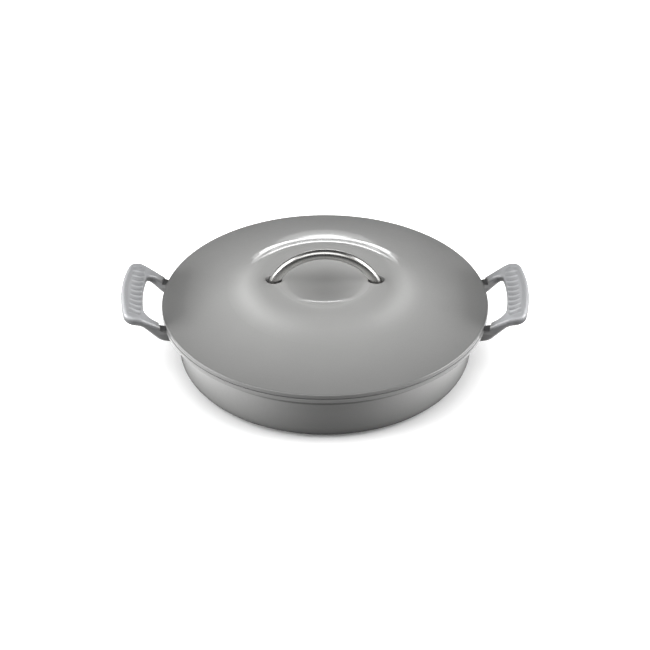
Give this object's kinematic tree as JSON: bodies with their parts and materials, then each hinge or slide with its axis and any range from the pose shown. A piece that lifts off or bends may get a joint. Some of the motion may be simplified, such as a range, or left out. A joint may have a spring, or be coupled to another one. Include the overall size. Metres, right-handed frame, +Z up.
{
  "type": "lidded braiser",
  "caption": "Shallow round enamelled cast-iron braiser with two upswept ribbed loop handles and a domed lid carrying a bent steel rod handle over a finger bowl.",
  "frame": {"origin": "centre of the pan's flat base, on the surface it stands on", "axes": "+Z up, +X through the right-hand side handle, -Y towards the viewer in front"},
  "size_m": [0.374, 0.3, 0.1157],
  "materials": {
    "pan_enamel": "satin grey enamel",
    "lid_enamel": "satin grey enamel",
    "rod_steel": "polished stainless steel",
    "screw_steel": "plain stainless steel",
    "washer_steel": "plain stainless steel"
  },
  "bodies": {
    "pan": {"pan": "pan_enamel"},
    "lid": {"lid": "lid_enamel", "lid_handle": "rod_steel", "handle_screws": "screw_steel", "handle_washers": "washer_steel"}
  },
  "joints": [
    {"name": "lid_lift", "type": "slide", "parent": "pan", "child": "lid", "axis": [0, 0, 1], "range_m": [0, 0.12]}
  ]
}
